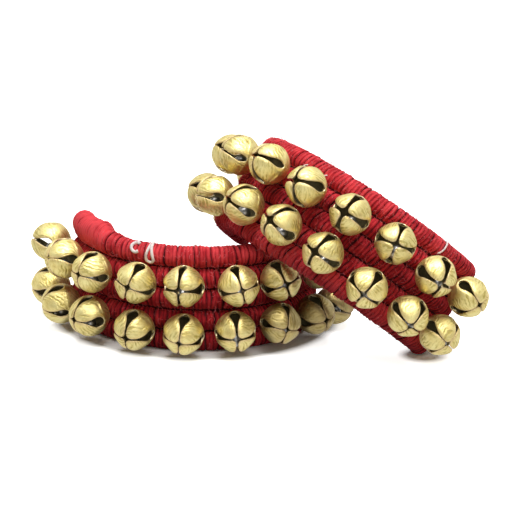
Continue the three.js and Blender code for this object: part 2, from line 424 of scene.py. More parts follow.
def spin_turns(shape):
    crown = shape.verts.layers.float.new("crown")
    strand = shape.verts.layers.float_vector.new("strand")
    shape.verts.layers.float.new("shelter")
    ring = bmesh.ops.create_circle(shape, segments=YARN_SIDES, radius=1.0)["verts"]
    for vert in ring:
        vert[crown] = 0.5 + vert.co.x / 2
        vert[strand] = (vert.co.y, 0, 0)
    bmesh.ops.scale(shape, vec=(YARN_HEIGHT / 2, YARN_WIDTH / 2, 1), verts=ring)
    bmesh.ops.translate(shape, vec=(WIND_RADIUS, -HALF_WOUND, 0), verts=ring)
    bmesh.ops.spin(shape, geom=shape.verts[:] + shape.edges[:], cent=(0, 0, 0), axis=(0, 1, 0),
                   dvec=(0, YARN_TURN / TURN_STEPS, 0), angle=TURNS_SPUN * math.tau,
                   steps=TURNS_SPUN * TURN_STEPS, use_merge=False)


def copied(shape):
    """Doubles all that is in a shape and gives back the copy's points."""
    copy = bmesh.ops.duplicate(shape, geom=shape.verts[:] + shape.edges[:] + shape.faces[:])
    return [item for item in copy["geom"] if isinstance(item, bmesh.types.BMVert)]


def double_turns(shape):
    for doubling in range(DOUBLINGS):
        shift = TURNS_SPUN * YARN_TURN * 2 ** doubling
        bmesh.ops.translate(shape, vec=(0, shift, 0), verts=copied(shape))
    bmesh.ops.remove_doubles(shape, verts=shape.verts[:], dist=JOIN_GAP)


def add_core(shape):
    ring = bmesh.ops.create_circle(shape, segments=CORE_SIDES, radius=WIND_RADIUS)["verts"]
    bmesh.ops.rotate(shape, cent=(0, 0, 0), matrix=Matrix.Rotation(math.pi / 2, 3, "X"), verts=ring)
    bmesh.ops.translate(shape, vec=(0, -HALF_WOUND, 0), verts=ring)
    bmesh.ops.spin(shape, geom=ring + ring_edges(ring), cent=(0, 0, 0), axis=(0, 1, 0),
                   dvec=(0, 2 * HALF_WOUND / CORE_STEPS, 0), angle=0, steps=CORE_STEPS, use_merge=False)


def straight_roll():
    shape = bmesh.new()
    spin_turns(shape)
    double_turns(shape)
    wound = len(shape.verts)
    add_core(shape)
    shape.verts.ensure_lookup_table()
    core = set(shape.verts[wound:])
    crown = shape.verts.layers.float["crown"]
    for vert in core:
        vert[crown] = CORE_END_CROWN if abs(vert.co.y) > END_MIDDLE else 0.0
    open_edges = [edge for edge in shape.edges if edge.is_boundary]
    bmesh.ops.holes_fill(shape, edges=open_edges, sides=0)
    bmesh.ops.recalc_face_normals(shape, faces=shape.faces[:])
    for face in shape.faces:
        inner = face.verts[0] in core and abs(face.calc_center_median().y) < END_MIDDLE
        face.smooth = True
        face.material_index = 1 if inner else 0
    return shape


STRAIGHT = straight_roll()
print("one roll:", TURNS_SPUN * 2 ** DOUBLINGS, "turns,", round(YARN_TURN, 2), "mm apart,",
      len(STRAIGHT.faces), "faces")

# %% [markdown]
# ## Ten rolls from one
# In each copy the turns are nudged a little, because a hand winds unevenly: noise that changes from turn to
# turn lifts single turns and whole bundles, lets some ride over others, and pushes them along. The ends are
# drawn in to a dome, and the roll is bent along its band. The free end of the left top roll has extra yarn
# wound on it, so it stands up as a thicker knob.

# %% How a roll's yarn lies
KNOB_LENGTH, KNOB_TAIL, KNOB_RISE = 40.0, 52.0, 1.7
KNOB_SHOULDER = 0.16 * KNOB_LENGTH
KNOB_START, KNOB_GROWTH, TAIL_SHARE = 0.5, 0.95, 0.4
KNOB_WIDENS, KNOB_MOVES_IN = 0.6, 0.4
SINGLE_TURN, BUNDLE, RIDES_OVER = (0.83, 0.2, 0.28), (0.19, 3.4, 0.22), (0.61, 11.3, 1)
SLACK, GATHER_SHIFT = (0.57, 7.1, 0.5), (0.15, 5.5, 4)
OVER_LEVEL, OVER_SHARE = 0.25, 0.7
GATHER_PACE, GATHERED = 2.1, 0.28
WANDER_ROUND, WANDER_ALONG, WANDER = 0.22, 0.45, 0.6
UPPER_DROOP, LOWER_DROOP = 2.5, 3.5
BELL_HEIGHTS = (roll_height(2) - UPPER_DROOP, roll_height(4) - LOWER_DROOP)
SHADE_REACH, SHADE_FADE, FRONT_DEPTH = 14.0, 4, 2


def limited(share):
    return min(1.0, max(0.0, share))


def drawn_in(point):
    """Bends what is past the ends' middles inwards, so that a roll ends in a dome."""
    past = abs(point.y) - END_MIDDLE
    if past <= 0:
        return point
    angle = past / ROLL_RADIUS
    reach = math.hypot(point.x, point.z)
    along = math.copysign(END_MIDDLE + reach * math.sin(angle), point.y)
    return Vector((point.x * math.cos(angle), along, point.z * math.cos(angle)))


def knobbed(point, rise):
    """Thickens the left end upwards and inwards; the side that meets the next roll stays."""
    from_end = point.y + HALF_LENGTH
    share = limited((KNOB_LENGTH - from_end) / KNOB_SHOULDER)
    full = KNOB_START + KNOB_GROWTH * from_end / KNOB_LENGTH
    tail = TAIL_SHARE * limited((KNOB_TAIL - from_end) / (KNOB_TAIL - KNOB_LENGTH))
    grown = rise * max(tail, full * share * share * (3 - 2 * share))
    upper = 0.5 + 0.5 * point.z / ROLL_RADIUS
    wide = 1 + KNOB_WIDENS * grown / ROLL_RADIUS
    return Vector((point.x * wide - KNOB_MOVES_IN * grown, point.y, point.z + 2 * grown * upper))


def turn_noise(turn, seed, kind):
    """Noise from turn to turn, for one kind of unevenness: its pace, its lane and its strength."""
    pace, lane, strength = kind
    return strength * noise.noise(Vector((turn * pace, seed, lane)))


def uneven_turns(point, turn, seed):
    """How much a hand-wound turn stands out and is pushed along, in millimetres."""
    over = OVER_SHARE * max(0.0, turn_noise(turn, seed, RIDES_OVER) - OVER_LEVEL)
    stands_out = turn_noise(turn, seed, SINGLE_TURN) + turn_noise(turn, seed, BUNDLE) + over
    wander = noise.noise(Vector((point.x * WANDER_ROUND, point.z * WANDER_ROUND, turn * WANDER_ALONG + seed)))
    gathered = math.sin(turn * GATHER_PACE + turn_noise(turn, seed, GATHER_SHIFT))
    return stands_out, turn_noise(turn, seed, SLACK) + WANDER * wander + GATHERED * gathered


def painted_bell_shade(along, height, outwards):
    """How far the bells overshadow a point of the band, as painted shade from 0 to 1; only its front is
    overshadowed.
    """
    column = min(OUTER_COLUMN, max(-OUTER_COLUMN, round(along / COLUMN))) * COLUMN
    off = min(math.hypot(along - column, height - row) for row in BELL_HEIGHTS)
    return limited((SHADE_REACH - off) / SHADE_FADE) * limited(outwards / FRONT_DEPTH)


print("shelter at a bell and between two:", painted_bell_shade(0, BELL_HEIGHTS[0], ROLL_RADIUS),
      round(painted_bell_shade(COLUMN / 2, roll_height(1), ROLL_RADIUS), 2))

# %% Rolls of wound yarn
# How strong the painted shade is on each roll's front. Below zero it is painted light: the lowest right roll
# and the left knob are painted lighter.
PAINTED_SHADE = {"left": (0.9, 1.0, 1.3, 1.4, 1.4), "right": (0.8, 1.1, 1.3, 1.1, -0.5)}
KNOB_PAINTED_LIGHT, KNOB_CROWN, KNOB_CROWN_SPAN = -1.0, 0.55, 0.45
WIND_SLANT = {"left": 0.05, "right": 0.275}
SEED_STEP, SIDE_SEED = 13.7, {"left": 0, "right": 50}
STEADY_END = 6


def make_piece(name, shape, finishes, body):
    mesh = bpy.data.meshes.new(name)
    shape.to_mesh(mesh)
    shape.free()
    for finish in finishes:
        mesh.materials.append(finish)
    piece = bpy.data.objects.new(name, mesh)
    bpy.context.scene.collection.objects.link(piece)
    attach(piece, body)
    return piece


def on_or_above_floor(place):
    place.z = max(place.z, 0.0)
    return place


def wind_roll(band, number):
    seed = number * SEED_STEP + SIDE_SEED[band.side]
    shade_strength, slant = PAINTED_SHADE[band.side][number - 1], WIND_SLANT[band.side]
    rise = KNOB_RISE if (band.side, number) == ("left", 1) else 0.0
    shape = STRAIGHT.copy()
    crown = shape.verts.layers.float["crown"]
    strand = shape.verts.layers.float_vector["strand"]
    shelter = shape.verts.layers.float["shelter"]
    up = roll_height(number)
    for vert in shape.verts:
        point = vert.co.copy()
        # Painted shade where the bells overshadow the yarn's front.
        vert[shelter] = shade_strength * painted_bell_shade(point.y + BAND_MIDDLE, point.z + up, point.x)
        # The knob is painted lighter, and the painted shade in its grooves is fainter.
        if rise and point.y < KNOB_LENGTH - HALF_LENGTH:
            vert[shelter], vert[crown] = KNOB_PAINTED_LIGHT, KNOB_CROWN + KNOB_CROWN_SPAN * vert[crown]
        turn = (point.y + HALF_WOUND - vert[strand].x * YARN_WIDTH / 2) / YARN_TURN
        stands_out, pushed = uneven_turns(point, turn, seed)
        swell = 1 + stands_out * vert[crown] / ROLL_RADIUS
        steady = max(0.0, 1 - max(0.0, abs(point.y) - END_MIDDLE + STEADY_END) / STEADY_END)
        along = point.y + (pushed + slant * point.z) * steady
        point = knobbed(drawn_in(Vector((point.x * swell, along, point.z * swell))), rise)
        vert[strand] = (vert[strand].x, turn * math.pi, seed)
        vert.co = on_or_above_floor(band.point(point.y + BAND_MIDDLE, point.x, point.z + up))
    node = f"{band.side}_roll_{number}"
    piece = make_piece(f"{node}_yarn", shape, (YARN_RED, SHADE_RED), f"{band.side}_band")
    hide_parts(node)
    return piece


rolls = [wind_roll(band, number) for band in BANDS.values() for number in ROLLS]
print("rolls:", len(rolls), "with", sum(len(roll.data.polygons) for roll in rolls), "faces")

# %% [markdown]
# ## Lacing between the rolls
# The rolls are held side by side by red thread that runs to and fro in the grooves between them. A dark red
# tube lies along each groove: partly that thread, and partly painted shade that fills the groove. A ring is
# drawn along each groove with spin, this time with no turn at all, and swells at every stitch.

# %% Lacing in the grooves
LACE_RADIUS, LACE_SIDES, LACE_STEPS = 1.5, 7, 160
STITCH, STITCH_SWELL, STITCH_SLANT = 2.6, 0.16, 1.3


def smoothed(shape):
    for face in shape.faces:
        face.smooth = True


def add_shaded_lacing(band, above):
    shape = bmesh.new()
    ring = bmesh.ops.create_circle(shape, segments=LACE_SIDES, radius=LACE_RADIUS, cap_ends=True)["verts"]
    bmesh.ops.rotate(shape, cent=(0, 0, 0), matrix=Matrix.Rotation(math.pi / 2, 3, "X"), verts=ring)
    bmesh.ops.translate(shape, vec=(0, -END_MIDDLE, 0), verts=ring)
    bmesh.ops.spin(shape, geom=shape.faces[:], cent=(0, 0, 0), axis=(0, 1, 0),
                   dvec=(0, 2 * END_MIDDLE / LACE_STEPS, 0), angle=0, steps=LACE_STEPS, use_merge=False)
    bmesh.ops.recalc_face_normals(shape, faces=shape.faces[:])
    up = roll_height(above) - ROLL_PITCH / 2
    for vert in shape.verts:
        swell = 1 + STITCH_SWELL * math.sin(vert.co.y / STITCH * math.tau + STITCH_SLANT * vert.co.x)
        vert.co = band.point(vert.co.y + BAND_MIDDLE, vert.co.x * swell, vert.co.z * swell + up)
    smoothed(shape)
    # The tube's dark red is painted shade in the groove.
    return make_piece(f"{band.side}_lacing_{above}", shape, (SHADE_RED,), f"{band.side}_band")


shaded_lacing = [add_shaded_lacing(band, above) for band in BANDS.values() for above in ROLLS[:-1]]
print("lacing:", len(shaded_lacing), "grooves")

# %% [markdown]
# ## Fuzz
# Cotton yarn is hairy: fine curled fibres stand off it and make its outline soft and a little pink. That
# pale pink is painted sheen, for the light that the loose fibres catch. Each fibre is a thin three-sided
# thread, and spin bends it to an arc. A few dozen faces would be too many for a thing there is so much of, so
# a fibre has twelve. A few dozen are made and doubled four times, each time turned and shifted. This straight
# set is turned and bent along each of the ten rolls, so no two rolls look the same. The right anklet's yarn is
# the more worn, so its rolls get a second set.

# %% Fibres on the rolls
FIBRES, FUZZ_DOUBLINGS = 32, 4
FIBRE_RADIUS, FIBRE_SIDES, FIBRE_STEPS, FIBRE_ROOT = 0.06, 3, 4, 0.1
BOW_RADII, BOW_ANGLES, LEANS = (0.7, 2.2), (0.9, 2.2), (-0.9, 0.9)
ROOM_FOR_COPIES = 12
COPY_SHIFT, COPY_TURN = 0.7, 2.4
ROLL_TURN, COAT_TURN = 1.9, 0.7
COATS = {"left": 1, "right": 2}
FUZZ_SEED = 5


def straight_fuzz(dice):
    shape = bmesh.new()
    for _ in range(FIBRES):
        before = len(shape.verts)
        ring = bmesh.ops.create_circle(shape, segments=FIBRE_SIDES, radius=FIBRE_RADIUS)["verts"]
        bow = dice.uniform(*BOW_RADII)
        bmesh.ops.spin(shape, geom=ring + ring_edges(ring), cent=(bow, 0, 0), axis=(0, 1, 0), dvec=(0, 0, 0),
                       angle=dice.uniform(*BOW_ANGLES), steps=FIBRE_STEPS, use_merge=False)
        shape.verts.ensure_lookup_table()
        round_roll = Matrix.Rotation(dice.uniform(0, math.tau), 4, "Y")
        lean = Matrix.Rotation(dice.uniform(*LEANS), 4, "X")
        spin = Matrix.Rotation(dice.uniform(0, math.tau), 4, "Z")
        out = round_roll @ Matrix.Translation((0, 0, ROLL_RADIUS - FIBRE_ROOT)) @ (lean @ spin)
        along = dice.uniform(-END_MIDDLE, END_MIDDLE - ROOM_FOR_COPIES)
        bmesh.ops.transform(shape, matrix=Matrix.Translation((0, along, 0)) @ out, verts=shape.verts[before:])
    for doubling in range(FUZZ_DOUBLINGS):
        further = (Matrix.Translation((0, COPY_SHIFT * 2 ** doubling, 0))
                   @ Matrix.Rotation(COPY_TURN + doubling, 4, "Y"))
        bmesh.ops.transform(shape, matrix=further, verts=copied(shape))
    bmesh.ops.recalc_face_normals(shape, faces=shape.faces[:])
    return shape


def add_fuzz(band, number, coat):
    shape = FUZZ.copy()
    turn = Matrix.Rotation(number * ROLL_TURN + coat * COAT_TURN, 3, "Y")
    way = -1 if (number + coat) % 2 else 1
    up = roll_height(number)
    for vert in shape.verts:
        point = turn @ vert.co
        vert.co = on_or_above_floor(band.point(point.y * way + BAND_MIDDLE, point.x, point.z + up))
    bmesh.ops.recalc_face_normals(shape, faces=shape.faces[:])
    return make_piece(f"{band.side}_fuzz_{number}_{coat}", shape, (FIBRE_SHEEN_PINK,), f"{band.side}_band")


# Pale pink fibres: painted sheen where the loose fibres catch the light.
FIBRE_SHEEN_PINK, _, _ = mottled("sheen_pink_fibre", (0.8, 0.1, 0.12), roughness=0.9, metallic=0.0, scale=300.0,
                           detail=2.0, dark=(0.55, 0.025, 0.04), light=(0.95, 0.3, 0.33))
FUZZ = straight_fuzz(random.Random(FUZZ_SEED))
fuzz = [add_fuzz(band, number, coat) for side, band in BANDS.items() for number in ROLLS
        for coat in range(COATS[side])]
print("fibres:", FIBRES * 2 ** FUZZ_DOUBLINGS * len(fuzz), "in", len(fuzz), "pieces")

# %% [markdown]
# ## White thread
# A few ends of white basting thread were left in the rolls: an open loop, a drop-shaped one and a short tail
# on the left top roll, and short stitches on the right one. Each is a straight tube that follows a smooth path
# laid on the roll, so it sits on the yarn from every side. A path point is given along the band, round the
# roll in degrees, and how high it stands off the yarn.

# %% White thread ends
THREAD_SIDES = 7
STEPS_PER_POINT = 5
NUDGE = 0.01
WHITE_THREADS = {
    "open_loop": ("left", 0.75, [(-22.4, 62, 0.5), (-23.7, 66, 0.6), (-25.2, 54, 0.6), (-25.6, 37, 0.6),
                                 (-24.8, 20, 0.6), (-23.2, 13, 0.6), (-22.2, 20, 0.5)]),
    "drop_loop": ("left", 0.68, [(-18.2, -26, 0.3), (-18.4, 2, 0.5), (-17.7, 42, 0.5), (-16.9, 86, 0.6),
                                 (-16.4, 44, 0.6), (-15.5, 2, 0.6), (-15.3, -20, 0.5), (-16.6, -32, 0.4),
                                 (-18.2, -26, 0.2)]),
    "thread_tail": ("left", 0.3, [(1.5, 88, 0.0), (1.9, 96, 0.5), (2.6, 104, 0.6)]),
    "slant_stitch": ("right", 0.42, [(58.9, 84, -0.4), (58.4, 55, 0.3), (57.8, 18, 0.4), (57.0, -21, 0.2),
                                     (56.6, -34, -0.4)]),
    "short_stitch": ("right", 0.3, [(-15.0, -45, -0.3), (-14.4, -36, 0.3), (-13.2, -22, 0.3),
                                    (-12.4, -14, -0.3)]),
    "far_stitch": ("right", 0.28, [(-4.1, -42, -0.3), (-3.5, -33, 0.3), (-2.6, -20, 0.3), (-1.9, -12, -0.3)]),
}


def smooth_path(points, share):
    """A point on the smooth line through the given ones; share runs from 0 to 1."""
    last = len(points) - 1
    spot = share * last
    index = min(int(spot), last - 1)
    before, start, end, after = (Vector(points[min(max(index + step, 0), last)]) for step in (-1, 0, 1, 2))
    left = spot - index
    return 0.5 * (2 * start + (end - before) * left + (2 * before - 5 * start + 4 * end - after) * left ** 2
                  + (3 * start - before - 3 * end + after) * left ** 3)


def on_top_roll(band, spot):
    along, degrees, lift = spot
    reach, angle = ROLL_RADIUS + lift, math.radians(degrees)
    return band.point(along, reach * math.cos(angle), reach * math.sin(angle) + roll_height(1)) / MM


def add_thread(name, side, radius, points):
    band, steps = BANDS[side], STEPS_PER_POINT * (len(points) - 1)
    shape = bmesh.new()
    bmesh.ops.create_circle(shape, segments=THREAD_SIDES, radius=radius, cap_ends=True)
    bmesh.ops.spin(shape, geom=shape.faces[:], cent=(0, 0, 0), axis=(0, 0, 1), dvec=(0, 0, 1.0 / steps),
                   angle=0, steps=steps, use_merge=False)
    bmesh.ops.recalc_face_normals(shape, faces=shape.faces[:])
    for vert in shape.verts:
        here = on_top_roll(band, smooth_path(points, vert.co.z))
        ahead = on_top_roll(band, smooth_path(points, min(vert.co.z + NUDGE, 1.0)))
        behind = on_top_roll(band, smooth_path(points, max(vert.co.z - NUDGE, 0.0)))
        turn = (ahead - behind).to_track_quat("Z", "Y")
        vert.co = (here + turn @ Vector((vert.co.x, vert.co.y, 0))) * MM
    smoothed(shape)
    return make_piece(f"{side}_{name}", shape, (THREAD_WHITE,), f"{side}_band")


THREAD_WHITE, shader, tone = mottled("white_thread", (0.9, 0.88, 0.85), roughness=0.8, metallic=0.0,
                                     scale=900.0, detail=3.0, dark=(0.75, 0.62, 0.6),
                                     light=(1.0, 0.98, 0.96))
feed(shader, Normal=tone.bump(strength=0.5, distance=0.0002))
threads = [add_thread(name, *spec) for name, spec in WHITE_THREADS.items()]
print("white threads:", len(threads))

# %% [markdown]
# ## Brass
# The bells are cast and filed by hand: a pale satin gold with fine scratches that run one way on each petal.
# Each bell carries three attributes. One lies along and across the filing, so the scratches turn from petal to
# petal. A file also leaves wavy ridges in patches: a sine across the strokes, pushed about by noise, is enough
# for them. One attribute tells how near a point is to a slot's edge, where the brass is paler. One browns the
# bell: a little real tarnish that differs from bell to bell, and painted shadow on those that hang between the
# anklets, under the right one. The wall's edge is cut bright, and its paler colour is also a painted
# highlight;
# the inside stays almost black.

# %% Brass finish
FILE_STEP, STROKE_EDGE = 1.25, 5.0
RIDGE_STEP, RIDGE_WOBBLE, RIDGE_POWER = 1.7, 12.0, 1.6
WORKED_LEVEL, WORKED_EDGE = 0.44, 7.0
RIDGE_DEPTH, STROKE_DEPTH, CROSSED_DEPTH = 0.85, 0.4, 0.25
CLOUD_SCALE, WORKED_SCALE, WOBBLE_SCALE = 260.0, 210.0, 330.0
CLOUD_DETAIL, PLAIN_DETAIL = 3.0, 1.0
TONE_SHIFT, EDGE_DARKENS, EDGE_SHARE = 0.12, 0.3, 0.7
SCRATCH_SHARE, TARNISH_AND_SHADOW_SHIFT = 0.75, 0.5
LEMON = ((0.0, (0.42, 0.3, 0.08)), (0.45, (0.82, 0.67, 0.26)), (1.0, (0.98, 0.91, 0.45)))
EDGE_BRASS, SCRATCH_OLIVE, TARNISH_AND_SHADOW_BROWN = (0.86, 0.68, 0.4), (0.42, 0.33, 0.07), (0.17, 0.1, 0.045)
ROUGH, ROUGH_CLOUD, ROUGH_CUT, ROUGH_EDGE = 0.37, 0.16, 0.12, 0.08
CLOUD_RELIEF = 0.4


def strokes(filed, turn, stretch, scale, level):
    """Scratches along the filing, or at a turn to it, where the noise is above a level."""
    lie = filed.node("ShaderNodeMapping", {}, {"Vector": filed, "Rotation": (0, 0, turn),
                                               "Scale": (stretch, 1 / FILE_STEP, 1.0)})
    return ((lie.cloud(scale, PLAIN_DETAIL) - level) * STROKE_EDGE).clipped()


def brass_finish():
    finish, shader, shade = new_finish("filed_brass", (0.74, 0.58, 0.25), 0.45, 1.0)
    filed, place = shade.attribute("filed", "Vector"), shade.place()
    edge, tarnish = shade.attribute("edge"), shade.attribute("tarnish")
    cloud = place.cloud(CLOUD_SCALE, CLOUD_DETAIL)
    worked, wobble = place.cloud(WORKED_SCALE, PLAIN_DETAIL), place.cloud(WOBBLE_SCALE, PLAIN_DETAIL)
    ridge = (filed.part("Y") * (math.tau / RIDGE_STEP) + wobble * RIDGE_WOBBLE).wave()
    ridges = ridge ** RIDGE_POWER * ((worked - WORKED_LEVEL) * WORKED_EDGE).clipped()
    along = strokes(filed, turn=0.0, stretch=0.13, scale=2.0, level=0.5)
    crossed = strokes(filed, turn=0.5, stretch=0.16, scale=2.6, level=0.55)
    cut = ridges * RIDGE_DEPTH + along * STROKE_DEPTH + crossed * CROSSED_DEPTH
    lemon = (cloud + TONE_SHIFT - edge * EDGE_DARKENS).clipped().ramp(*LEMON)
    colour = (edge * EDGE_SHARE).clipped().mixed(lemon, rgba(*EDGE_BRASS))
    scratched = (cut * SCRATCH_SHARE).clipped().mixed(colour, rgba(*SCRATCH_OLIVE))
    # Real tarnish, and painted shadow on the bells under the right anklet, mix in a dark brown.
    browned_and_shadowed = (tarnish * (cloud + TARNISH_AND_SHADOW_SHIFT)).clipped().mixed(scratched, rgba(*TARNISH_AND_SHADOW_BROWN))
    roughness = (cloud * ROUGH_CLOUD + cut * ROUGH_CUT + edge * ROUGH_EDGE + ROUGH).clipped()
    relief = cloud * CLOUD_RELIEF - cut
    feed(shader, Base_Color=browned_and_shadowed, Roughness=roughness, Normal=relief.bump(strength=0.7, distance=0.0002))
    return finish


BRASS = brass_finish()
print("brass:", BRASS.name, "with", len(BRASS.node_tree.nodes), "nodes")

# %% Inside, rim and steel finishes
STEEL_ROUGH, STEEL_ROUGH_CLOUD = 0.25, 0.3

INSIDE, _, _ = mottled("dark_inside", (0.02, 0.018, 0.008), roughness=0.6, metallic=0.6, scale=500.0,
                       detail=2.0, dark=(0.07, 0.055, 0.022), light=(0.3, 0.25, 0.12))
# The cut rim is paler brass, and that paler colour is also a painted highlight on the edge.
RIM, _, _ = mottled("cut_rim_and_highlight", (0.9, 0.74, 0.45), roughness=0.3, metallic=1.0, scale=700.0, detail=2.0,
                    dark=(0.45, 0.32, 0.14), light=(1.0, 0.88, 0.62))
STEEL, shader, tone = mottled("pellet_steel", (0.5, 0.5, 0.5), roughness=0.25, metallic=1.0, scale=900.0,
                              detail=3.0, dark=(0.3, 0.29, 0.27), light=(0.75, 0.74, 0.72))
feed(shader, Roughness=tone * STEEL_ROUGH_CLOUD + STEEL_ROUGH)
print("other metals:", INSIDE.name, RIM.name, STEEL.name)

# %% [markdown]
# ## A bell of four petals
# A ghungroo bell is cast as a ball with four long petals that are bent together over the pellet. Between two
# petals is a slot: round at the waist, narrowing to a hairline, then opening again into the star where the
# four rounded tips meet. One petal starts as a flat grid. Across it runs from slot to slot, and up it runs
# from root to tip. Bending that grid on to the ball leaves clean edges for the slots, and the four petals
# are merged below the waist, where the casting is whole. Solidify then gives the wall, whose edge is the rim.

# %% Shape of one petal
BELL_RADIUS, BELL_WALL = 9.5, 1.2
EYE_REACH = 0.9
BELL_MIDDLE = BELL_RADIUS + EYE_REACH
SLOT_END, SLOT_WIDE, SLOT_NECK = -1.7, 2.0, 8.0
SLOT_HALF, SLOT_EASE, SLOT_MOST = 2.1, 1.25, 0.7
TIP_ROUND, NECK_MARGIN = 2.4, 3
ROOT_TO_NECK = (172, 160, 146, 132, 120, 110, 104, 100.31, 99, 96.5, 93, 88, 82, 75, 68, 61, 54, 47, 40, 33,
                27, 22)
TIP_SHARES = (1, 0.84, 0.68, 0.5, 0.32, 0.15, 0)
ACROSS, ACROSS_EASE = 10, 0.4
FAR_FROM_EDGE = 9.0
EDGE_FOLD, EDGE_WIDTH = 0.36, 0.8
TIP_FOLD, TIP_WIDTH = 0.35, 1.0
FLATTENED, FLAT_WIDTH, FLAT_BELOW, BELOW_SHARE = 0.5, 0.55, 1.7, 0.4
BEND_REACH, BEND_EASE = 1.25, 1.3
ROOT_TAPER, TAPER_EASE = 0.1, 1.5


def petal_rows(gape):
    """Rows from root to tip: each one's angle from the bell's axis, and the rounded tip's half-width."""
    centre = gape + TIP_ROUND
    widest = math.acos(TIP_ROUND / centre)
    neck = math.degrees(math.asin(math.sqrt(centre ** 2 - TIP_ROUND ** 2) / BELL_RADIUS))
    rows = [(math.radians(polar), None) for polar in ROOT_TO_NECK if polar > neck + NECK_MARGIN]
    for share in TIP_SHARES:
        inwards, aside = centre - TIP_ROUND * math.cos(share * widest), TIP_ROUND * math.sin(share * widest)
        rows.append((math.asin(math.hypot(inwards, aside) / BELL_RADIUS), math.atan2(aside, inwards)))
    return rows


def slot_half(height, spread, neck):
    """Half a slot's width at a height above the bell's middle."""
    if height <= SLOT_END:
        return 0.0
    if height < SLOT_WIDE:
        short = (SLOT_WIDE - height) / (SLOT_WIDE - SLOT_END)
        return spread * SLOT_HALF * math.sqrt(max(0.0, 1 - short * short))
    share = min(1.0, (height - SLOT_WIDE) / (SLOT_NECK - SLOT_WIDE))
    return neck + (spread * SLOT_HALF - neck) * (1 - share) ** SLOT_EASE


def near(distance, width):
    """1 at no distance, and smoothly down to 0 some widths away."""
    return math.exp(-(distance / width) ** 2)


def petal_point(across, row, tip_polar, spread, neck, bend):
    """A grid point's place on the ball, and how near it is to an edge."""
    polar, tip_angle = row
    radius, height = BELL_RADIUS * math.sin(polar), BELL_RADIUS * math.cos(polar)
    opening = slot_half(height, spread, neck)
    half = math.pi / 4 - math.asin(min(SLOT_MOST, opening / radius)) if tip_angle is None else tip_angle
    eased = across * (1 + ACROSS_EASE - ACROSS_EASE * across * across)
    to_edge = (1 - abs(eased)) * half * radius if opening > 0 else FAR_FROM_EDGE
    to_tip = (polar - tip_polar) * BELL_RADIUS
    fold = EDGE_FOLD * near(to_edge, EDGE_WIDTH) + TIP_FOLD * near(to_tip, TIP_WIDTH)
    flat = FLATTENED * math.sin(polar) ** 2 * near(abs(eased), FLAT_WIDTH)
    flat *= 1 if polar < FLAT_BELOW else BELOW_SHARE
    lift = bend * max(0.0, 1 - polar / BEND_REACH) ** BEND_EASE
    if polar > math.pi / 2:
        radius *= 1 - ROOT_TAPER * ((polar - math.pi / 2) / (math.pi / 2)) ** TAPER_EASE
    turn = eased * half
    scale = (BELL_RADIUS - fold - flat + lift) / BELL_RADIUS
    place = Vector((radius * math.cos(turn), radius * math.sin(turn), height)) * scale
    return place, near(min(to_edge, to_tip), EDGE_WIDTH)


print("slot half-width at the waist:", round(slot_half(height=0, spread=1, neck=0.2), 2),
      "mm, rows:", len(petal_rows(gape=1.3)))

# %% Building one bell
PETALS = 4
SPREADS, BENDS = (0.8, 1.3), (-0.55, 0.3)
FILING_WAYS, FILING_WANDER = (35, 50, 60, -45), (-12, 12)
PETAL_HALF, PETAL_LANE = 6.5, 3.1
PETAL_GAP = 0.02
ROOT_HEIGHT = -8
FACES_OUT = 0.55
WIRE_SIDES = 6
EYE_RING, EYE_WIRE, EYE_STEPS, EYE_GAP = 0.75, 0.36, 10, 0.05


def add_petals(shape, dice, gapes, brown_and_shadow):
    filed = shape.verts.layers.float_vector.new("filed")
    tarnish = shape.verts.layers.float.new("tarnish")
    edge_layer = shape.verts.layers.float.new("edge")
    spreads = [dice.uniform(*SPREADS) for _ in range(PETALS)]
    rows = petal_rows(dice.uniform(*gapes))
    polar_wide, half_wide = rows[-len(TIP_SHARES)]
    neck = BELL_RADIUS * math.sin(polar_wide) * math.sin(math.pi / 4 - half_wide)
    for petal in range(PETALS):
        bend = dice.uniform(*BENDS)
        way = math.radians(dice.choice(FILING_WAYS) + dice.uniform(*FILING_WANDER))
        grid = bmesh.ops.create_grid(shape, x_segments=ACROSS, y_segments=len(rows) - 1, size=1.0)
        quarter = Matrix.Rotation(math.pi / 4 + petal * math.pi / 2, 3, "Z")
        for vert in grid["verts"]:
            row = rows[round((vert.co.y + 1) / 2 * (len(rows) - 1))]
            across, polar = vert.co.x, row[0]
            spread = spreads[petal if across < 0 else (petal + 1) % PETALS]
            place, edge = petal_point(across, row, rows[-1][0], spread, neck, bend)
            wide, tall = across * PETAL_HALF * math.sin(polar), (math.pi / 2 - polar) * BELL_RADIUS
            vert[filed] = (wide * math.cos(way) + tall * math.sin(way),
                           tall * math.cos(way) - wide * math.sin(way), petal * PETAL_LANE + dice.random())
            vert[edge_layer], vert[tarnish] = edge, brown_and_shadow
            vert.co = quarter @ place


def add_ring(shape, radius, wire, steps):
    """A ring of round wire about the Y axis; gives back its points."""
    before = set(shape.verts)
    ring = bmesh.ops.create_circle(shape, segments=WIRE_SIDES, radius=wire)["verts"]
    bmesh.ops.translate(shape, vec=(radius, 0, 0), verts=ring)
    bmesh.ops.spin(shape, geom=ring + ring_edges(ring), cent=(0, 0, 0), axis=(0, 1, 0), dvec=(0, 0, 0),
                   angle=math.tau, steps=steps, use_merge=True)
    return [vert for vert in shape.verts if vert not in before]


def add_eye(shape):
    eye = add_ring(shape, EYE_RING, EYE_WIRE, EYE_STEPS)
    bmesh.ops.rotate(shape, cent=(0, 0, 0), matrix=Matrix.Rotation(math.pi / 2, 3, "Z"), verts=eye)
    bmesh.ops.translate(shape, vec=(0, 0, -BELL_RADIUS - EYE_GAP), verts=eye)
    faces = list(dict.fromkeys(face for vert in eye for face in vert.link_faces))
    bmesh.ops.recalc_face_normals(shape, faces=faces)
    for face in faces:
        face.material_index = 0
        face.smooth = True


